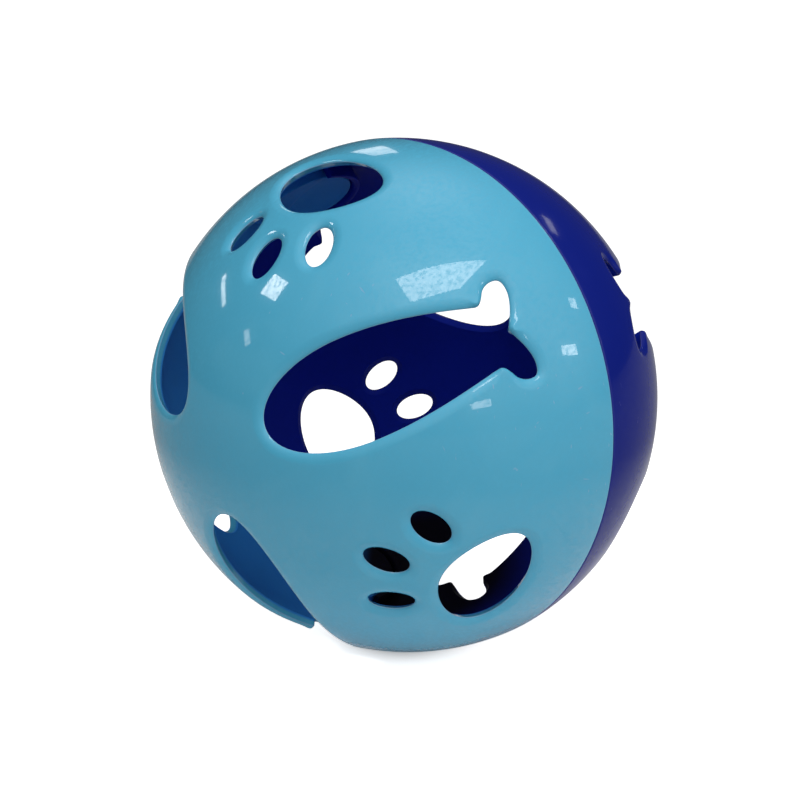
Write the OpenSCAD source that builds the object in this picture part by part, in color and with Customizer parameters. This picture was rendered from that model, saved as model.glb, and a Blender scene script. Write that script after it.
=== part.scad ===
// Treat dispensing ball: a hollow ball of two moulded caps that plug together.
// The ball's axis runs along Y, the light cap faces -Y and the dark cap faces +Y.
// Z is up and one paw print of each cap points straight up.
// Lengths are in millimetres. Places on a cap are angles seen from its own centre.

/* [Ball] */
// Radius of each cap, from its own centre to the outer surface
ball_r = 40; // [34:0.5:50]
// How far each cap falls short of a half ball
cap_trim = 1.2; // [0.6:0.1:2]
// Thickness of both walls
wall = 1.6; // [1.4:0.1:2]
// Bevel around each rim, which draws the seam line
rim_bevel = 0.15; // [0.1:0.05:0.4]
// Width of the rolled lip around every opening
lip_w = 1.6; // [1.2:0.1:2]
// How deep the lip rolls down to the edge of its opening
lip_depth = 0.7; // [0.5:0.05:0.9]
// How much wider each opening grows from its edge to the inner surface
lip_flare = 1; // [0.8:0.1:1.4]
// How round the lip is: 1 is a straight slope and 2 an ellipse
lip_fullness = 1.7; // [1.2:0.1:2]
// How far the dark cap's pattern sits round from the light cap's, as an angle
dark_turn_angle = -1.3; // [-2:0.1:2]

/* [Fish opening] */
// Angle from the pole to the tip of the head
fish_head_angle = 14.2; // [12:0.5:18]
// Angle from the pole to the widest place
fish_belly_angle = 35.5; // [33:0.5:38]
// Half of the body's width, as an angle
fish_belly_half_angle = 10.6; // [9:0.1:11.5]
// Angle from the pole to the waist before the tail
fish_waist_angle = 63.2; // [61.5:0.1:64]
// Half of the waist's width, as an angle
fish_waist_half_angle = 6.4; // [5.8:0.1:7]
// Angle from the pole to the end of the tail
fish_tail_angle = 70.9; // [69:0.1:72]
// Half of the tail's width, as an angle
fish_tail_half_angle = 10.2; // [9.5:0.1:11]

/* [Paw opening] */
// Angle from the pole to the middle of the pad
pad_place_angle = 63.1; // [62:0.1:64]
// Half of the pad's length, as an angle
pad_half_length_angle = 9.5; // [8.5:0.1:9.8]
// Half of the pad's width, as an angle
pad_half_width_angle = 12.6; // [11.5:0.1:13]
// How much wider the pad grows towards the seam
pad_egg_share = 0.22; // [0:0.01:0.25]
// Angle from the pole to the middle toe
toe_middle_angle = 41.5; // [40.5:0.1:42]
// Angle from the pole to each side toe
toe_side_angle = 46.8; // [46:0.1:47.5]
// Angle from the middle of the paw out to each side toe
toe_side_out_angle = 10.8; // [10.2:0.1:11.5]
// How far each side toe leans in towards the pad
toe_lean_angle = 19; // [10:1:25]
// Half of a toe's length, as an angle
toe_half_length_angle = 4.9; // [4:0.1:5]
// Half of a toe's width, as an angle
toe_half_width_angle = 2.9; // [2.3:0.1:3]

/* [Locking tongues] */
// Width of each tongue
tongue_w = 14; // [12:0.5:15]
// How far each tongue reaches past the seam
tongue_reach = 9; // [8.5:0.1:9.3]
// How far each tongue sits round from the line midway between a paw and a fish, as an angle
tongue_turn_angle = 8; // [6:0.5:9]
// Length of each tongue's root along the light cap's wall
tongue_root = 8; // [7.8:0.1:8.6]
// Thickness of each tongue
tongue_t = 1.6; // [1.2:0.1:2]
// Clearance between a tongue and the dark cap
tongue_gap = 0.35; // [0.25:0.05:0.5]
// Thickness of the guide around each tongue
guide_t = 1; // [0.8:0.1:1.2]
// How far each guide stands above the face of its tongue
guide_rise = 0.3; // [0:0.1:0.6]

/* [Hidden] */
$fn = 96;

// Directions of the three fish, the three paws and the three tongues around the axis
fish_angles = [30, 150, 270];
paw_angles = [90, 210, 330];
tongue_angles = [0, 120, 240];

inner_r = ball_r - wall;
tongue_face_r = inner_r - tongue_gap;
tongue_back_r = tongue_face_r - tongue_t;
guide_back_r = tongue_back_r - guide_rise;
// Roots and guides run this far into the wall, so that they are one piece with it
bed_share = 0.5;
bed_r = inner_r + bed_share * wall;
// Every opening is cut from this far below the outer surface, which is well inside the cap
cut_below = 2 * wall - lip_depth;

light_colour = [0.37, 0.68, 0.80];
dark_colour = [0.10, 0.11, 0.48];

// Place of each corner of half a tail: share of its length, then share of its half width
tail_corner_shares = [
    [0.08, 0.62], [0.24, 0.73], [0.41, 0.94], [0.7, 1.03], [0.99, 1],
    [1.05, 0.73], [0.92, 0.42], [0.72, 0.15], [0.6, 0]
];

// How much of each side the easing of a corner takes
ease_share = 0.25;
// What a share takes of the one before it, of itself and of the one after, when softened
soft_shares = [0.25, 0.5, 0.25];
// Turns of the lip's roll, from the edge of the opening towards the outer surface
roll_turns = [0, 22.5, 45, 67.5];
// Place of the tip that closes each opening's space, as a share of the inner radius
tip_share = 0.5;

// A line whose corners are cut off
function eased(points) = concat(
    [points[0]],
    [for (i = [1 : len(points) - 2])
        for (other = [i - 1, i + 1])
            points[i] + ease_share * (points[other] - points[i])],
    [points[len(points) - 1]]
);

// Half of a fish from the head to the fork of its tail: angle from the pole, then half width
function half_fish() = concat(
    [for (turn = [0 : 11.25 : 84])
        [fish_belly_angle - (fish_belly_angle - fish_head_angle) * cos(turn),
         fish_belly_half_angle * sin(turn)]],
    [for (step = [0 : 15 : 89])
        [fish_belly_angle + (fish_waist_angle - fish_belly_angle) * step / 90,
         fish_waist_half_angle + (fish_belly_half_angle - fish_waist_half_angle) * cos(step)]],
    eased([for (share = tail_corner_shares)
        [fish_waist_angle + share[0] * (fish_tail_angle - fish_waist_angle),
         share[1] * fish_tail_half_angle]])
);

// A whole fish, with its second half run backwards from the fork to the head
function fish() = let(half = half_fish(), last = len(half) - 1) concat(
    half,
    [for (i = [last - 1 : -1 : 1]) [half[i][0], -half[i][1]]]
);

// The pad is an egg that is widest on the side of the seam
function pad() = [for (turn = [0 : 10 : 359])
    [pad_place_angle - pad_half_length_angle * cos(turn),
     pad_half_width_angle * sin(turn) * (1 - pad_egg_share * cos(turn))]];

// A toe is an oval, turned by its lean
function toe(place, out, lean) = [for (turn = [0 : 18 : 359])
    let(along = -toe_half_length_angle * cos(turn), across = toe_half_width_angle * sin(turn))
    [place + along * cos(lean) - across * sin(lean),
     out + along * sin(lean) + across * cos(lean)]];

// The way from a cap's centre to a place on it, for a pattern that lies towards +X
function ray(place) = [
    cos(place[1]) * sin(place[0]),
    sin(place[1]),
    cos(place[1]) * cos(place[0])
];

// The direction straight out of an outline at one of its points
function outward(outline, i) = let(
    count = len(outline),
    run = outline[(i + 1) % count] - outline[(i + count - 1) % count]
) [-run[1], run[0]] / norm(run);

// A length on the outer surface as an angle
function as_angle(length) = length / ball_r * 180 / PI;

// A value between the two beside it in a closed list
function with_neighbours(values, i) = let(count = len(values))
    [values[(i + count - 1) % count], values[i], values[(i + 1) % count]];

// A list of shares in which each takes the least of its neighbourhood
function lowest(shares) = [for (i = [0 : len(shares) - 1]) min(with_neighbours(shares, i))];

// A list of shares with its steps softened, several times over
function softened(shares, times) = times == 0 ? shares : softened(
    [for (i = [0 : len(shares) - 1]) with_neighbours(shares, i) * soft_shares], times - 1);

// How much of a growth each point takes: less in a hollow corner, so that its sides never cross
function spread(outline, length) = softened(lowest([
    for (i = [0 : len(outline) - 1]) let(
        places = with_neighbours(outline, i),
        before = places[1] - places[0],
        after = places[2] - places[1],
        bend = cross(before, after) / norm(before) / norm(after),
        reach = min(norm(before), norm(after))
    ) 1 / (1 + as_angle(length) * max(bend, 0) / reach)
]), 2);

// An outline grown by a length on the outer surface, with its own share at each point
function grown(outline, length, shares) = [
    for (i = [0 : len(outline) - 1])
        outline[i] + as_angle(length) * shares[i] * outward(outline, i)
];

// The space of one opening: walls that flare towards the inside, then a lip that rolls
// outwards. It is closed towards one place on the surface, the hub.
module opening(outline, hub) {
    count = len(outline);
    // Each ring is a growth of the outline and a depth below the outer surface. The last one
    // carries the slope of the roll on through the outer surface.
    roll = [for (turn = roll_turns)
        [lip_w * (1 - pow(cos(turn), 2 / lip_fullness)),
         lip_depth * (1 - pow(sin(turn), 2 / lip_fullness))]];
    roll_end = roll[len(roll) - 1];
    rings = concat([[2 * lip_flare, cut_below]], roll, [[2 * lip_w - roll_end[0], -roll_end[1]]]);
    shares = spread(outline, 2 * max(lip_w, lip_flare));
    points = concat(
        [ray(hub) * inner_r * tip_share],
        [for (ring = rings) for (place = grown(outline, ring[0], shares))
            ray(place) * (ball_r - ring[1])],
        [ray(hub) * (ball_r + inner_r)]
    );
    last = len(points) - 1;
    top = 1 + (len(rings) - 1) * count;
    faces = concat(
        [for (i = [0 : count - 1]) [0, 1 + (i + 1) % count, 1 + i]],
        [for (ring = [0 : len(rings) - 2]) for (i = [0 : count - 1])
            [1 + ring * count + i, 1 + (ring + 1) * count + (i + 1) % count,
             1 + (ring + 1) * count + i]],
        [for (ring = [0 : len(rings) - 2]) for (i = [0 : count - 1])
            [1 + ring * count + i, 1 + ring * count + (i + 1) % count,
             1 + (ring + 1) * count + (i + 1) % count]],
        [for (i = [0 : count - 1]) [last, top + i, top + (i + 1) % count]]
    );
    polyhedron(points = points, faces = faces, convexity = 6);
}

// The four openings of one paw print
module paw() {
    opening(pad(), [pad_place_angle, 0]);
    opening(toe(toe_middle_angle, 0, 0), [toe_middle_angle, 0]);
    for (side = [-1, 1])
        opening(toe(toe_side_angle, side * toe_side_out_angle, -side * toe_lean_angle),
            [toe_side_angle, side * toe_side_out_angle]);
}

// A hollow ball around a centre on the axis
module hollow(outer, inner, centre) {
    translate([0, 0, centre])
        difference() {
            sphere(r = outer);
            sphere(r = inner);
        }
}

// One cap with its pole towards +Z, its rim on the ground and all its openings
module cap() {
    difference() {
        rotate_extrude()
            difference() {
                intersection() {
                    translate([0, -cap_trim])
                        difference() {
                            circle(r = ball_r);
                            circle(r = inner_r);
                        }
                    square(ball_r);
                }
                // The bevel around the rim
                translate([sqrt(ball_r * ball_r - cap_trim * cap_trim), 0])
                    rotate(45)
                        square(sqrt(2) * rim_bevel, center = true);
            }
        translate([0, 0, -cap_trim]) {
            for (turn = fish_angles)
                rotate(turn)
                    opening(fish(), [fish_waist_angle, 0]);
            for (turn = paw_angles)
                rotate(turn)
                    paw();
        }
    }
}

// A bar with one round end, drawn upright: it runs up from low and its round end is at reach
module round_bar(width, low, reach) {
    translate([0, reach - width / 2])
        intersection() {
            circle(d = width);
            translate([-width, 0])
                square([2 * width, width]);
        }
    translate([-width / 2, low])
        square([width, reach - width / 2 - low]);
}

// The same bar stood up and pushed through the wall towards +X
module bar_through(width, low, reach) {
    rotate([90, 0, 90])
        linear_extrude(height = ball_r)
            round_bar(width, low, reach);
}

// One tongue of the upright light cap. It hangs below the rim and curves with the dark wall.
module tongue() {
    intersection() {
        hollow(tongue_face_r, tongue_back_r, cap_trim);
        mirror([0, 0, 1])
            bar_through(tongue_w, 0, tongue_reach);
    }
    intersection() {
        hollow(bed_r, tongue_back_r, -cap_trim);
        bar_through(tongue_w, 0, tongue_root);
    }
}

// One guide of the upright dark cap, open towards the rim
module guide() {
    outer_w = tongue_w + 2 * (tongue_gap + guide_t);
    inner_w = tongue_w + 2 * tongue_gap;
    intersection() {
        hollow(bed_r, guide_back_r, -cap_trim);
        rotate([90, 0, 90])
            linear_extrude(height = ball_r)
                difference() {
                    round_bar(outer_w, 0, tongue_reach + tongue_gap + guide_t);
                    round_bar(inner_w, -tongue_gap, tongue_reach + tongue_gap);
                }
    }
}

// The light cap with its three tongues
module light_half() {
    color(light_colour)
        rotate([90, 0, 0])
            union() {
                cap();
                for (turn = tongue_angles)
                    rotate(turn + tongue_turn_angle)
                        tongue();
            }
}

// The dark cap is the light one's mirror image, with guides in place of tongues
module dark_half() {
    color(dark_colour)
        mirror([0, 1, 0])
            rotate([90, 0, 0])
                union() {
                    rotate(dark_turn_angle)
                        cap();
                    for (turn = tongue_angles)
                        rotate(turn + tongue_turn_angle)
                            guide();
                }
}

light_half();
dark_half();
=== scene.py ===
import math

import bmesh
import bpy
from mathutils import Matrix, Vector


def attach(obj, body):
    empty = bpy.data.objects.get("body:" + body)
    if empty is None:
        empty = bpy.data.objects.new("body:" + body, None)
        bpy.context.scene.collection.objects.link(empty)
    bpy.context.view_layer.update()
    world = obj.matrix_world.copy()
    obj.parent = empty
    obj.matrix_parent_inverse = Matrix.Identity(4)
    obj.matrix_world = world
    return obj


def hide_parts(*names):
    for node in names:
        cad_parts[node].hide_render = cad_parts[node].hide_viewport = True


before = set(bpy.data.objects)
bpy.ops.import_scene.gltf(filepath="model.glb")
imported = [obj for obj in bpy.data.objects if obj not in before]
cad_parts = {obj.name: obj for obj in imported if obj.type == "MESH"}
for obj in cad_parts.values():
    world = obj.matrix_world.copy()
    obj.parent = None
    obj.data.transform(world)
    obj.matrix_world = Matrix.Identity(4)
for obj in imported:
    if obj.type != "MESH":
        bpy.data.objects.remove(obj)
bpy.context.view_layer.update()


# Camera: it looks down at the ball from the light cap's right-hand side. Its place, lens and
# shift are fitted to the ball's outline in the photograph.

ball_middle = Vector((0, 0.0012, 0))
camera_turn = math.radians(42.1)
camera_rise = math.radians(16.1)
camera_back = Vector((
    math.sin(camera_turn) * math.cos(camera_rise),
    -math.cos(camera_turn) * math.cos(camera_rise),
    math.sin(camera_rise),
))
camera_distance = 0.252
bpy.ops.object.select_all(action="DESELECT")
bpy.ops.object.camera_add(
    location=ball_middle + camera_distance * camera_back,
    rotation=camera_back.to_track_quat("Z", "Y").to_euler(),
)
camera = bpy.context.object
camera.name = "camera"
camera.data.lens = 72.24
camera.data.sensor_width = 36
camera.data.shift_x = -0.01037
camera.data.shift_y = -0.00738
camera.data.clip_start = 0.01
bpy.context.scene.camera = camera


# Light cap: a little less than half a hollow ball of glossy light blue plastic, moulded in one
# shot with its openings and tongues. Its rim lies in the seam, and its pole points along -Y.

cap_radius = 0.040
cap_wall = 0.0016
cap_trim = 0.0012
rim_bevel = 0.00025
one_point = 1e-6


def edit(piece):
    """Opens a piece for editing with nothing selected and gives its mesh."""
    bpy.ops.object.select_all(action="DESELECT")
    piece.select_set(True)
    bpy.context.view_layer.objects.active = piece
    bpy.ops.object.mode_set(mode="EDIT")
    bpy.ops.mesh.select_all(action="DESELECT")
    return bmesh.from_edit_mesh(piece.data)


def blank_cap(name, side):
    """A hollow cap with no openings. Side is -1 for the light cap and 1 for the dark one."""
    bpy.ops.object.select_all(action="DESELECT")
    bpy.ops.mesh.primitive_uv_sphere_add(
        segments=256, ring_count=160, radius=cap_radius, rotation=(math.radians(90), 0, 0),
        location=(0, -side * cap_trim, 0))
    cap = bpy.context.object
    cap.name = name
    bpy.ops.object.transform_apply(location=True, rotation=True, scale=True)
    hollow = cap.modifiers.new("hollow", "SOLIDIFY")
    hollow.thickness = cap_wall
    hollow.offset = -1
    bpy.ops.object.modifier_apply(modifier=hollow.name)
    edit(cap)
    bpy.ops.mesh.select_all(action="SELECT")
    bpy.ops.mesh.bisect(
        plane_co=(0, 0, 0), plane_no=(0, side, 0), clear_inner=True, threshold=one_point)
    bpy.ops.mesh.select_mode(type="EDGE")
    mesh = bmesh.from_edit_mesh(cap.data)
    for edge in mesh.edges:
        edge.select_set(edge.is_boundary)
    bpy.ops.mesh.bridge_edge_loops()
    bpy.ops.mesh.select_all(action="DESELECT")
    mesh = bmesh.from_edit_mesh(cap.data)
    for edge in mesh.edges:
        on_rim = all(
            abs(v.co.y) < one_point and math.hypot(v.co.x, v.co.z) > cap_radius - cap_wall / 2
            for v in edge.verts)
        edge.select_set(on_rim)
    bpy.ops.mesh.bevel(offset=rim_bevel, segments=3, profile=0.5)
    bpy.ops.object.mode_set(mode="OBJECT")
    return cap


def built_up(name, count, rings, place, ended=True):
    """A closed solid grown from a circle, ring by ring. Place gives each point of a ring. A
    solid that isn't ended closes by itself, because both halves of its last rings meet."""
    bpy.ops.object.select_all(action="DESELECT")
    bpy.ops.mesh.primitive_circle_add(vertices=count, radius=cap_radius, fill_type="NGON")
    piece = bpy.context.object
    piece.name = name
    bpy.ops.object.mode_set(mode="EDIT")
    mesh = bmesh.from_edit_mesh(piece.data)
    number = mesh.verts.layers.int.new("number")
    for i, vertex in enumerate(mesh.verts):
        vertex[number] = i
    for step, ring in enumerate(rings):
        if step:
            bpy.ops.mesh.extrude_region_move()
            mesh = bmesh.from_edit_mesh(piece.data)
            number = mesh.verts.layers.int["number"]
        for vertex in mesh.verts:
            if vertex.select:
                vertex.co = place(ring, vertex[number])
    if not ended:
        bpy.ops.mesh.select_mode(type="FACE")
        mesh = bmesh.from_edit_mesh(piece.data)
        for face in mesh.faces:
            face.select_set(len(face.verts) == count)
        bpy.ops.mesh.delete(type="ONLY_FACE")
        bpy.ops.mesh.select_mode(type="VERT")
    bpy.ops.mesh.select_all(action="SELECT")
    bpy.ops.mesh.remove_doubles(threshold=one_point)
    bpy.ops.mesh.normals_make_consistent(inside=False)
    bpy.ops.object.mode_set(mode="OBJECT")
    return piece


def combine(cap, tool, degrees, operation):
    """Joins a tool to a cap, or cuts it out, once at each of three turns around the axis."""
    for turn in (degrees, degrees + 120, degrees + 240):
        bpy.ops.object.select_all(action="DESELECT")
        copy = tool.copy()
        copy.data = tool.data.copy()
        bpy.context.scene.collection.objects.link(copy)
        copy.data.transform(Matrix.Rotation(-math.radians(turn), 4, "Y"))
        step = cap.modifiers.new(tool.name, "BOOLEAN")
        step.operation = operation
        step.solver = "MANIFOLD"
        step.object = copy
        cap.select_set(True)
        bpy.context.view_layer.objects.active = cap
        bpy.ops.object.modifier_apply(modifier=step.name)
        bpy.data.objects.remove(copy)
    bpy.data.objects.remove(tool)


# Openings of both caps: a fish and a paw print, three times round. Each follows the ball. Its
# lip rolls inwards from a soft shoulder to a thin edge, and the wall behind the edge falls back.

lip_width = 0.0016
lip_depth = 0.0007
lip_flare = 0.0010
lip_edge = 0.00005
lip_fullness = 1.7
core_height = 0.010
fish_turn = 30
paw_turn = 90


def eased(line, times):
    """An open line of places with its corners cut off, several times over."""
    for _ in range(times):
        softer = [line[0]]
        for before, place, after in zip(line, line[1:], line[2:]):
            softer += [place.lerp(before, 0.25), place.lerp(after, 0.25)]
        line = softer + [line[-1]]
    return line


def fish_outline():
    """Places on the fish's edge, as degrees from the pole and degrees out to the side."""
    head, belly, waist, tail = 14.2, 35.5, 63.2, 70.9
    belly_half, waist_half, tail_half = 10.6, 6.4, 10.2

    def body(share):
        return Vector((belly + (waist - belly) * share,
                       waist_half + (belly_half - waist_half) * math.cos(math.pi / 2 * share)))

    front = [
        Vector((belly - (belly - head) * math.cos(math.radians(turn)),
                belly_half * math.sin(math.radians(turn))))
        for turn in range(0, 90, 5)]
    side = [body(step / 16) for step in range(14)]
    # Corners of the tail's edge: shares of the way from waist to tail, and of its half width.
    corner_shares = (
        (0.08, 0.62), (0.24, 0.73), (0.41, 0.94), (0.70, 1.03), (0.99, 1),
        (1.05, 0.73), (0.92, 0.42), (0.72, 0.15), (0.60, 0))
    tail_side = [body(0.875), body(0.97)] + [
        Vector((waist + along * (tail - waist), out * tail_half)) for along, out in corner_shares]
    tail_round = tail_side + [Vector((m, -w)) for m, w in reversed(tail_side[:-1])]
    tail_round = eased(tail_round, 3)
    other = [Vector((m, -w)) for m, w in reversed((front + side)[1:])]
    return front + side + tail_round + other


def pad_outline():
    """The pad is an egg that is widest towards the seam."""
    middle, half_length, half_width, egg = 63.1, 9.5, 12.6, 0.22
    return [
        Vector((middle - half_length * math.cos(turn),
                half_width * math.sin(turn) * (1 - egg * math.cos(turn))))
        for turn in (math.radians(degrees) for degrees in range(0, 360, 3))]


def toe_outline(middle, out, lean):
    """A toe is an oval that leans towards the pad."""
    half_length, half_width = 4.9, 2.9
    places = []
    for degrees in range(0, 360, 5):
        along = -half_length * math.cos(math.radians(degrees))
        across = half_width * math.sin(math.radians(degrees))
        places.append(Vector((
            middle + along * math.cos(lean) - across * math.sin(lean),
            out + along * math.sin(lean) + across * math.cos(lean))))
    return places


def growth_shares(outline, growth):
    """How much of the growth each place takes: less in a hollow corner, where it would fold."""
    count = len(outline)
    shares = []
    for i in range(count):
        before = outline[i] - outline[i - 1]
        after = outline[(i + 1) % count] - outline[i]
        bend = -before.angle_signed(after) * 2 / (before.length + after.length)
        shares.append(1 / (1 + growth * max(bend, 0)))
    for _ in range(4):
        shares = [min(shares[i - 1], shares[i], shares[(i + 1) % count]) for i in range(count)]
    for _ in range(10):
        shares = [(shares[i - 1] + 2 * shares[i] + shares[(i + 1) % count]) / 4
                  for i in range(count)]
    return shares


def opening_core(name, outline, side):
    """The space of one opening of an unturned cap, built up ring by ring from the inside."""
    count = len(outline)
    millimetre = math.degrees(0.001 / cap_radius)
    widest_growth = 1.5 * lip_width * 1000 * millimetre
    shares = growth_shares(outline, widest_growth)
    roll = []
    for turn in (0, 12, 22, 32, 42, 52, 61, 69, 76, 82, 86):
        across = math.cos(math.radians(turn)) ** (2 / lip_fullness)
        down = math.sin(math.radians(turn)) ** (2 / lip_fullness)
        roll.append((lip_width * (1 - across), lip_depth * (1 - down)))
    flare = [(2 * lip_flare, 2 * cap_wall - lip_depth), (lip_edge, lip_depth + lip_edge)]
    end, rise = roll[-1]
    clear = end + 2 * (lip_width - end)
    rings = flare + roll + [(clear, -rise), (clear, -core_height)]

    def place(ring, i):
        growth, depth = ring
        run = outline[(i + 1) % count] - outline[i - 1]
        out = Vector((-run.y, run.x)).normalized()
        spot = outline[i] + growth * 1000 * millimetre * shares[i] * out
        m, w = math.radians(spot.x), math.radians(spot.y)
        way = Vector((math.cos(w) * math.sin(m), side * math.cos(w) * math.cos(m), math.sin(w)))
        return way * (cap_radius - depth) - Vector((0, side * cap_trim, 0))

    return built_up(name, count, rings, place)


def cut_openings(cap, side, turn):
    """Cuts the three fish and the three paw prints into a cap, all turned by some degrees."""
    middle_toe, outer_toe, toe_spread = 41.5, 46.8, 10.8
    lean = math.radians(19)
    combine(cap, opening_core("fish", fish_outline(), side), fish_turn + turn, "DIFFERENCE")
    combine(cap, opening_core("pad", pad_outline(), side), paw_turn + turn, "DIFFERENCE")
    for name, middle, out, toe_lean in (
            ("middle_toe", middle_toe, 0, 0), ("upper_toe", outer_toe, toe_spread, -lean),
            ("lower_toe", outer_toe, -toe_spread, lean)):
        toe = opening_core(name, toe_outline(middle, out, toe_lean), side)
        combine(cap, toe, paw_turn + turn, "DIFFERENCE")


# Tongues: three broad blades with round ends, which reach past the seam and slide along the dark
# wall. Each springs from a thicker root of the same outline on the inside of the light wall.

tongue_width = 0.014
tongue_reach = 0.009
tongue_root = 0.008
tongue_turn = 8
tongue_thickness = 0.0016
tongue_gap = 0.00035
tongue_face = cap_radius - cap_wall - tongue_gap
tongue_back = tongue_face - tongue_thickness
tongue_rounding = 0.0003
bed_radius = cap_radius - cap_wall / 2
seam_overrun = 0.00002


def on_ball(across, along, radius, side):
    """The point above a flat place, at a radius from a cap's own centre, towards +X."""
    up = along + side * cap_trim
    return Vector((math.sqrt(radius ** 2 - across ** 2 - up ** 2), along, across))


def round_bar(name, low, reach, face, side):
    """A bar with one round end that follows the ball. Its rings spread from the middle of its
    face over its edge and close in on the middle of its back."""
    straight, bowed = 6, 36
    half = tongue_width / 2
    middle = reach - half
    edge = [Vector((half, low + (middle - low) * step / straight)) for step in range(straight)]
    for step in range(bowed + 1):
        turn = math.pi * step / bowed
        edge.append(Vector((half * math.cos(turn), middle + half * math.sin(turn))))
    edge += [Vector((-place.x, place.y)) for place in reversed(edge[:straight])]
    edge += [Vector((half * (step / straight - 1), low)) for step in range(1, 2 * straight)]
    hub = Vector((0, (low + reach) / 2))
    shares = (1, 0.8, 0.6, 0.4, 0.2)
    turns = [math.radians(turn) for turn in (0, 30, 60, 90)]
    over = [(tongue_rounding * (1 - math.sin(turn)), tongue_rounding * (1 - math.cos(turn)))
            for turn in turns]
    rings = [(share, face) for share in shares]
    rings += [(inset / half, face - drop) for inset, drop in over]
    rings += [(inset / half, tongue_back + drop) for inset, drop in reversed(over)]
    rings += [(share, tongue_back) for share in reversed(shares)]

    def place(ring, i):
        share, radius = ring
        across, along = edge[i].lerp(hub, share)
        return on_ball(across, side * along, radius, side)

    return built_up(name, len(edge), rings, place, ended=False)


light_cap = blank_cap("light_shell", -1)
cut_openings(light_cap, -1, 0)
root = round_bar("root", seam_overrun, tongue_root, bed_radius, -1)
combine(light_cap, root, tongue_turn, "UNION")
blade = round_bar("blade", -tongue_thickness / 2, tongue_reach, tongue_face, 1)
combine(light_cap, blade, tongue_turn, "UNION")


# Skin of both caps: bright gloss from a polished mould, with a fine grain, slow ripples and a few
# handling marks outside, a painted highlight line along the opening edges and the seam, and a
# plainer satin inside the hollow, which painted shade darkens towards its bottom.

def node(tree, kind, name, **settings):
    """Adds a node that is named for what it gives."""
    made = tree.nodes.new("ShaderNode" + kind)
    made.name = made.label = name
    for setting, value in settings.items():
        setattr(made, setting, value)
    return made


def feed(tree, made, inputs):
    """Sets a node's inputs by name or number, each from another node's output or a value."""
    for key, value in inputs.items():
        if isinstance(value, bpy.types.NodeSocket):
            tree.links.new(value, made.inputs[key])
        else:
            made.inputs[key].default_value = value
    return made.outputs[0]


def reckon(tree, name, operation, first, second=0.0, third=0.0):
    """A sum, product or other step on one to three numbers."""
    made = node(tree, "Math", name, operation=operation)
    return feed(tree, made, {0: first, 1: second, 2: third})


def ramp(tree, name, value, low, high):
    """Rises softly from 0 to 1 as a value goes from low to high, or falls where high is less."""
    made = node(tree, "MapRange", name, interpolation_type="SMOOTHSTEP")
    start, end = (0.0, 1.0) if high > low else (1.0, 0.0)
    return feed(tree, made, {
        "Value": value, "From Min": min(low, high), "From Max": max(low, high),
        "To Min": start, "To Max": end})


def blend(tree, name, share, low, high):
    """Goes from one colour to another as a share goes from 0 to 1."""
    made = node(tree, "Mix", name, data_type="RGBA")
    feed(tree, made, {0: share, 6: low, 7: high})
    return made.outputs[2]


def noise(tree, name, place, scale, detail=2.0, distortion=0.0):
    """Soft random spots, with about the stated number of them in a metre."""
    made = node(tree, "TexNoise", name)
    return feed(tree, made, {
        "Vector": place, "Scale": scale, "Detail": detail, "Distortion": distortion})


def stretched(tree, name, place, turn, scale):
    """A place turned and squeezed, so that a pattern on it runs out into streaks."""
    made = node(tree, "Mapping", name)
    return feed(tree, made, {"Vector": place, "Rotation": turn, "Scale": scale})


hollow_roughness = 0.52
haze_roughness = 0.05
scuff_roughness = 0.25
scuff_depth = 0.006
swell_gain = 3.0
wiped_away = 0.55
scuffed_away = 0.5
gloss_fade = 0.0003
# Bands of the painted highlight line along the opening edges and the seam rim.
edge_inner, edge_outer, edge_lower = 0.00004, 0.00016, 0.00012
rim_inner, rim_outer, rim_share = 0.00015, 0.00045, 0.6
# Centre and reach of the painted shade that darkens the bottom of the hollow.
painted_shade_centre = (-0.005, 0.013, -0.033)
dark_reach = 0.0110

skin = bpy.data.node_groups.new("moulded_skin", "ShaderNodeTree")
skin.interface.new_socket(name="Place", in_out="INPUT", socket_type="NodeSocketVector")
for name in ("Gloss", "Grain", "Ripple", "Marks", "Gloss Depth", "Shade Reach"):
    skin.interface.new_socket(name=name, in_out="INPUT", socket_type="NodeSocketFloat")
for name in ("Outside", "Edge", "Haze", "Scuff", "Shade", "Coat", "Roughness", "Height"):
    skin.interface.new_socket(name=name, in_out="OUTPUT", socket_type="NodeSocketFloat")
given = skin.nodes.new("NodeGroupInput")
result = skin.nodes.new("NodeGroupOutput")
place = given.outputs["Place"]

measure = node(skin, "VectorMath", "measure", operation="LENGTH")
skin.links.new(place, measure.inputs[0])
from_centre = measure.outputs["Value"]
gloss_end = reckon(skin, "gloss_end", "SUBTRACT", cap_radius, given.outputs["Gloss Depth"])
above_end = reckon(skin, "above_end", "SUBTRACT", from_centre, gloss_end)
outside = ramp(skin, "outside", above_end, 0.0, gloss_fade)
# Painted highlight: masks for a light line along the opening edges and along the seam rim.
edge_radius = cap_radius - lip_depth
edge = reckon(
    skin, "edge", "MULTIPLY",
    ramp(skin, "above_edge", from_centre, edge_radius + edge_outer, edge_radius + edge_inner),
    ramp(skin, "below_edge", from_centre, edge_radius - edge_lower, edge_radius))
axes = node(skin, "SeparateXYZ", "axes")
skin.links.new(place, axes.inputs[0])
from_equator = reckon(skin, "from_equator", "ABSOLUTE", axes.outputs["Y"])
rim = ramp(skin, "rim", from_equator, cap_trim + rim_outer, cap_trim + rim_inner)
rim = reckon(skin, "rim_outside", "MULTIPLY", rim, outside)
rim = reckon(skin, "rim_share", "MULTIPLY", rim, rim_share)
edge = reckon(skin, "edge_and_rim", "MAXIMUM", edge, rim)

grain = reckon(skin, "grain", "SUBTRACT", noise(skin, "fine", place, 5200), 0.5)
ripple = reckon(skin, "ripple", "SUBTRACT", noise(skin, "slow", place, 230, 1.0), 0.5)
swell = reckon(skin, "swell", "SUBTRACT", noise(skin, "slower", place, 60, 1.0), 0.5)
haze = ramp(skin, "haze", noise(skin, "smudges", place, 70, 4.0, 1.2), 0.42, 0.78)

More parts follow.
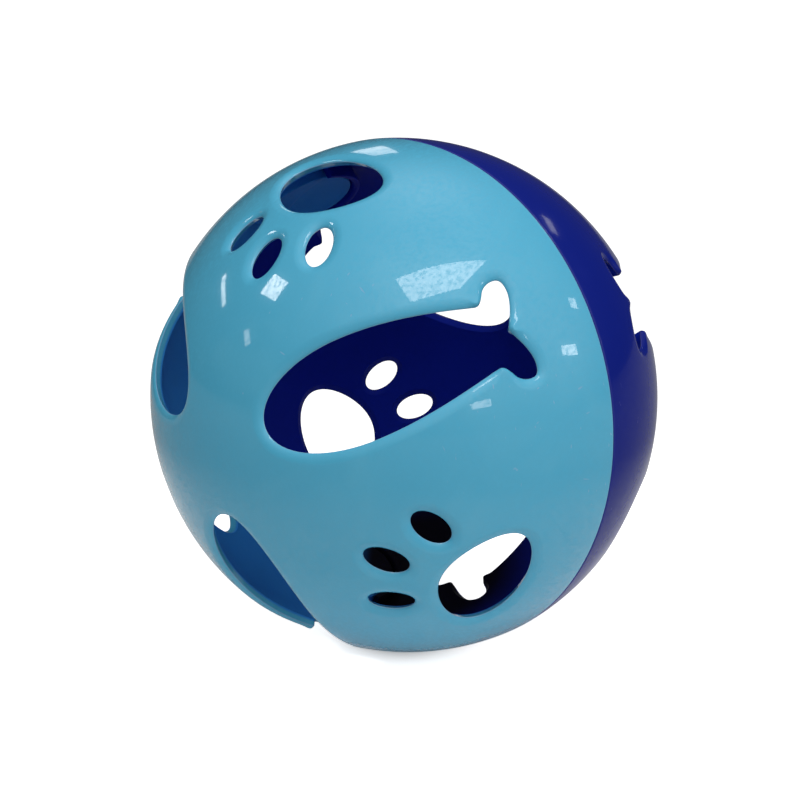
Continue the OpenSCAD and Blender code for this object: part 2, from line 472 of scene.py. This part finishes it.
streak_one = stretched(skin, "one_way", place, (0.4, 0.2, 0.9), (90, 2600, 900))
streak_two = stretched(skin, "other_way", place, (1.1, -0.7, 0.3), (2300, 110, 1000))
scratch = reckon(
    skin, "scratch", "MAXIMUM",
    ramp(skin, "scratch_one", noise(skin, "hairs_one", streak_one, 1.0, 1.0), 0.745, 0.80),
    ramp(skin, "scratch_two", noise(skin, "hairs_two", streak_two, 1.0, 1.0), 0.745, 0.80))
wipes = stretched(skin, "wiped", place, (0.5, 0.3, 0.2), (2400, 1100, 1700))
wiped = ramp(skin, "wipes", noise(skin, "wipe_marks", wipes, 1.0, 3.0), 0.40, 0.68)
patches = ramp(skin, "patches", noise(skin, "handled", place, 38, 2.0), 0.50, 0.66)
scratch = reckon(skin, "scratch_in_patches", "MULTIPLY", scratch, patches)

pits = node(skin, "TexVoronoi", "pits")
feed(skin, pits, {"Vector": place, "Scale": 120.0})
few = node(skin, "SeparateColor", "few")
skin.links.new(pits.outputs["Color"], few.inputs[0])
nick = reckon(
    skin, "nick", "MULTIPLY",
    ramp(skin, "pit", pits.outputs["Distance"], 0.040, 0.015),
    ramp(skin, "chosen", few.outputs[0], 0.80, 0.82))
scuff = reckon(skin, "scuff", "MAXIMUM", scratch, nick)
scuff = reckon(skin, "scuff_outside", "MULTIPLY", scuff, outside)
scuff = reckon(skin, "scuff_wanted", "MULTIPLY", scuff, given.outputs["Marks"])

height = reckon(skin, "grain_height", "MULTIPLY", grain, given.outputs["Grain"])
height = reckon(skin, "with_ripple", "MULTIPLY_ADD", ripple, given.outputs["Ripple"], height)
swell = reckon(skin, "swell_height", "MULTIPLY", swell, given.outputs["Ripple"])
height = reckon(skin, "with_swell", "MULTIPLY_ADD", swell, swell_gain, height)
height = reckon(skin, "with_scuff", "MULTIPLY_ADD", scuff, -scuff_depth, height)

coat = reckon(skin, "unwiped", "MULTIPLY_ADD", wiped, -wiped_away, 1.0)
coat = reckon(skin, "unmarked", "MULTIPLY_ADD", scuff, -scuffed_away, coat)
coat = reckon(skin, "coat", "MULTIPLY", coat, outside)

inside = reckon(skin, "inside", "SUBTRACT", 1.0, outside)
# Painted shade: a mask that darkens the hollow towards a place near its bottom.
from_bottom = node(skin, "VectorMath", "from_bottom", operation="DISTANCE")
feed(skin, from_bottom, {0: place, 1: painted_shade_centre})
depth = node(skin, "MapRange", "depth", interpolation_type="SMOOTHSTEP")
shade = feed(skin, depth, {
    "Value": from_bottom.outputs["Value"], "From Min": dark_reach,
    "From Max": given.outputs["Shade Reach"], "To Min": 1.0, "To Max": 0.0})
shade = reckon(skin, "shade", "MULTIPLY", shade, inside)
satin = reckon(skin, "satin", "SUBTRACT", hollow_roughness, given.outputs["Gloss"])
satin = reckon(skin, "satin_inside", "MULTIPLY", satin, inside)
rough = reckon(skin, "rough", "ADD", satin, given.outputs["Gloss"])
rough = reckon(skin, "rough_haze", "MULTIPLY_ADD", haze, haze_roughness, rough)
rough = reckon(skin, "rough_scuff", "MULTIPLY_ADD", scuff, scuff_roughness, rough)
for name, value in (("Outside", outside), ("Edge", edge), ("Haze", haze), ("Scuff", scuff),
                    ("Shade", shade), ("Coat", coat), ("Roughness", rough), ("Height", height)):
    skin.links.new(value, result.inputs[name])


# Colour of the painted shade in the bottom of the hollow.
painted_shade_colour = (0.0026, 0.0016, 0.0060, 1)
# How far scuffs, as real wear, and the painted edge highlight go towards the lighter colour.
most_wear_and_highlight = 0.45
grain_height = 0.0025
ripple_height = 0.010
relief_distance = 0.001
coat_roughness = 0.025
plastic_ior = 1.46
specular_level = 0.06
smooth_angle = math.radians(32)


def moulded_plastic(name, side, colours, gloss, coat, gloss_depth, shade_reach):
    """The plastic of one cap. Its colours are the body's, the hazy places', the one that scuffs and
    a painted highlight along the edges and the seam take, and the hollow's. Its gloss reaches some
    way down into the openings, and the painted shade in the bottom of the hollow reaches some way
    up."""
    plastic = bpy.data.materials.new(name)
    plastic.use_nodes = True
    tree = plastic.node_tree
    shader = tree.nodes["Principled BSDF"]
    coordinates = node(tree, "TexCoord", "coordinates")
    centred = node(tree, "Mapping", "centred")
    tree.links.new(coordinates.outputs["Object"], centred.inputs["Vector"])
    centred.inputs["Location"].default_value = (0, side * cap_trim, 0)
    finish = node(tree, "Group", "finish", node_tree=skin)
    feed(tree, finish, {
        "Place": centred.outputs[0], "Gloss": gloss, "Grain": grain_height,
        "Ripple": ripple_height, "Marks": 1.0, "Gloss Depth": gloss_depth,
        "Shade Reach": shade_reach})
    body, hazy, wear_and_edge_highlight, hollow = [(*colour, 1) for colour in colours]
    colour = blend(tree, "hazy_places", finish.outputs["Haze"], body, hazy)
    colour = blend(tree, "hollow_and_outside", finish.outputs["Outside"], hollow, colour)
    # Painted shade deepens the hollow's colour towards its bottom.
    colour = blend(tree, "painted_shade_in_the_hollow", finish.outputs["Shade"], colour, painted_shade_colour)
    # The painted highlight along edges and seam, and real scuff wear, both lighten the colour.
    marked = reckon(
        tree, "edge_and_scuff", "MAXIMUM", finish.outputs["Edge"], finish.outputs["Scuff"])
    marked = reckon(tree, "wear_and_highlight_share", "MULTIPLY", marked, most_wear_and_highlight)
    colour = blend(tree, "painted_edge_highlight_and_wear", marked, colour, wear_and_edge_highlight)
    tree.links.new(colour, shader.inputs["Base Color"])
    tree.links.new(finish.outputs["Roughness"], shader.inputs["Roughness"])
    coat_weight = reckon(tree, "coat_weight", "MULTIPLY", finish.outputs["Coat"], coat)
    tree.links.new(coat_weight, shader.inputs["Coat Weight"])
    shader.inputs["Coat Roughness"].default_value = coat_roughness
    shader.inputs["IOR"].default_value = plastic_ior
    shader.inputs["Specular IOR Level"].default_value = specular_level
    bump = node(tree, "Bump", "relief")
    feed(tree, bump, {
        "Height": finish.outputs["Height"], "Distance": relief_distance, "Strength": 1.0})
    tree.links.new(bump.outputs[0], shader.inputs["Normal"])
    return plastic


def finish_cap(cap, plastic, body, cad_node):
    """Merges the points that the cuts doubled, smooths a cap, gives it its plastic and sets it
    in the place of its CAD node."""
    edit(cap)
    bpy.ops.mesh.select_all(action="SELECT")
    bpy.ops.mesh.remove_doubles(threshold=2 * one_point)
    bpy.ops.object.mode_set(mode="OBJECT")
    bpy.ops.object.shade_smooth_by_angle(angle=smooth_angle)
    cap.data.materials.clear()
    cap.data.materials.append(plastic)
    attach(cap, body)
    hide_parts(cad_node)


# Body, hazy places, scuffs with the painted edge highlight, and the hollow.
light_colours = (
    (0.080, 0.405, 0.600), (0.092, 0.420, 0.610), (0.300, 0.420, 0.620), (0.032, 0.235, 0.630))
light_plastic = moulded_plastic("light_plastic", -1, light_colours, 0.14, 0.80, 0.0015, 0.0165)
finish_cap(light_cap, light_plastic, "light_cap", "light_half")


# Dark cap: the other half, moulded in royal blue with the same pattern mirrored across the seam.
# A raised guide inside its wall runs round each tongue.

dark_turn = -1.3
guide_thickness = 0.001
guide_rise = 0.0003


def tongue_guide():
    """A U-shaped ridge, as sections from one foot at the seam round the tongue to the other."""
    straight, bowed = 8, 24
    middle = tongue_reach - tongue_width / 2
    half = tongue_width / 2 + tongue_gap + guide_thickness / 2
    top = tongue_back - guide_rise
    side = guide_thickness / 2
    rounding = guide_thickness / 4
    corner = rounding * 0.3
    section = [
        (-side, bed_radius), (side, bed_radius), (side, top + rounding),
        (side - corner, top + corner), (side - rounding, top),
        (rounding - side, top), (corner - side, top + corner), (-side, top + rounding)]
    run = [seam_overrun + (middle - seam_overrun) * step / straight for step in range(straight)]
    stations = [(half, along, 0.0) for along in run]
    for step in range(bowed + 1):
        turn = math.pi * step / bowed
        stations.append((half * math.cos(turn), middle + half * math.sin(turn), turn))
    stations += [(-half, along, math.pi) for along in reversed(run)]

    def place(station, i):
        across, along, turn = station
        out, radius = section[i]
        return on_ball(
            across + out * math.cos(turn), along + out * math.sin(turn), radius, 1)

    return built_up("guide", len(section), stations, place)


dark_cap = blank_cap("dark_shell", 1)
cut_openings(dark_cap, 1, dark_turn)
combine(dark_cap, tongue_guide(), tongue_turn, "UNION")

# Body, hazy places, scuffs with the painted edge highlight, and the hollow.
dark_colours = (
    (0.0042, 0.0125, 0.195), (0.0055, 0.0140, 0.200), (0.060, 0.065, 0.280),
    (0.0036, 0.0155, 0.300))
dark_plastic = moulded_plastic("dark_plastic", 1, dark_colours, 0.12, 0.18, 0.0010, 0.0250)
finish_cap(dark_cap, dark_plastic, "dark_cap", "dark_half")


# Studio: a white paper floor under the ball, one large window high at the front right, a few
# ceiling lamps, and a room that is brightest above and in front.

floor_size = 12
white_seen = 0.90
white_mirrored = 0.05
paper_far = 0.32
paper_gain = 0.50
lamp_distance = 1.2
room_brightness = 0.05

bpy.ops.object.select_all(action="DESELECT")
bpy.ops.mesh.primitive_plane_add(size=floor_size, location=(0, 0, -cap_radius))
floor = bpy.context.object
floor.name = "floor"
paper = bpy.data.materials.new("white_paper")
paper.use_nodes = True
tree = paper.node_tree
tree.nodes.clear()
output = node(tree, "OutputMaterial", "surface")
matt = node(tree, "BsdfDiffuse", "matt")
glow = node(tree, "Emission", "white_to_the_camera")
light_path = node(tree, "LightPath", "light_path")
seen = reckon(
    tree, "seen", "MAXIMUM", light_path.outputs["Is Camera Ray"],
    light_path.outputs["Is Transmission Ray"])
mirrored = reckon(
    tree, "mirrored", "MULTIPLY", light_path.outputs["Is Glossy Ray"], white_mirrored)
whiteness = reckon(tree, "whiteness", "MULTIPLY_ADD", seen, white_seen, mirrored)
where = node(tree, "TexCoord", "where")
reach = node(tree, "VectorMath", "reach", operation="LENGTH")
tree.links.new(where.outputs["Object"], reach.inputs[0])
sheet = ramp(tree, "sheet", reach.outputs["Value"], 0.130, 0.060)
paleness = reckon(tree, "paleness", "MULTIPLY_ADD", sheet, paper_gain, paper_far)
tree.links.new(paleness, matt.inputs["Color"])
# The white glow is left off close to the ball's contact, which paints the floor dark there as
# contact shade.
clear_of_painted_contact_shade = ramp(tree, "clear_of_painted_contact_shade", reach.outputs["Value"], 0.003, 0.014)
glow_strength = reckon(tree, "glow_strength", "MULTIPLY", whiteness, clear_of_painted_contact_shade)
tree.links.new(glow_strength, glow.inputs["Strength"])
both = node(tree, "AddShader", "both")
tree.links.new(matt.outputs[0], both.inputs[0])
tree.links.new(glow.outputs[0], both.inputs[1])
tree.links.new(both.outputs[0], output.inputs["Surface"])
floor.data.materials.append(paper)


def direction(azimuth, elevation):
    """The way from the ball towards a place in the studio."""
    a, e = math.radians(azimuth), math.radians(elevation)
    return Vector((math.cos(a) * math.cos(e), math.sin(a) * math.cos(e), math.sin(e)))


def lamp(name, azimuth, elevation, width, height, radiance, turn):
    """A flat lamp of a stated brightness. Turn is its rotation, or a twist if it faces the ball."""
    way = direction(azimuth, elevation)
    data = bpy.data.lights.new(name, "AREA")
    data.shape = "RECTANGLE"
    data.size = lamp_distance * width
    data.size_y = lamp_distance * height
    data.energy = radiance * math.pi * data.size * data.size_y
    holder = bpy.data.objects.new(name, data)
    holder.location = lamp_distance * way
    if isinstance(turn, tuple):
        holder.rotation_euler = [math.radians(angle) for angle in turn]
    else:
        twist = Matrix.Rotation(math.radians(turn), 3, "Z").to_quaternion()
        holder.rotation_euler = (way.to_track_quat("Z", "Y") @ twist).to_euler()
    bpy.context.scene.collection.objects.link(holder)


lamp("window", -22.8, 61.2, 0.483, 0.639, 7.0, (-43.9, -12.5, 63.9))
# Azimuth, elevation, width, height, radiance and twist of each lamp.
ceiling_lamps = (
    (-133.9, 40.3, 0.161, 0.134, 14, 14), (-159.4, 23.6, 0.224, 0.032, 8, -9),
    (-129.5, 22.1, 0.100, 0.047, 6, -40), (138.2, 29.5, 0.090, 0.200, 2, 8),
    (46.8, 28.8, 0.064, 0.060, 6, -36), (30.6, 18.6, 0.140, 0.062, 9, -18),
    (-17.2, 9.9, 0.148, 0.051, 6, 3), (87.4, 32.0, 0.120, 0.045, 4, -7))
for number, settings in enumerate(ceiling_lamps, 1):
    lamp(f"ceiling_lamp_{number}", *settings)

world = bpy.data.worlds.new("room")
bpy.context.scene.world = world
world.use_nodes = True
tree = world.node_tree
way = node(tree, "TexCoord", "way").outputs["Generated"]
brightness = room_brightness
for name, azimuth, elevation, strength, tightness in (
        ("ceiling", -24, 55, 1.6, 3), ("side_wall", 30, 20, 0.6, 14),
        ("back_ceiling", 125, 66, 1.0, 20)):
    facing = node(tree, "VectorMath", name, operation="DOT_PRODUCT")
    feed(tree, facing, {0: way, 1: direction(azimuth, elevation)})
    share = reckon(tree, name + "_share", "MAXIMUM", facing.outputs["Value"], 0.0)
    share = reckon(tree, name + "_soft", "POWER", share, tightness)
    brightness = reckon(tree, name + "_added", "MULTIPLY_ADD", share, strength, brightness)
tree.links.new(brightness, tree.nodes["Background"].inputs["Strength"])
tree.nodes["Background"].inputs["Color"].default_value = (1, 1, 1, 1)

bpy.context.scene.view_settings.view_transform = "Standard"
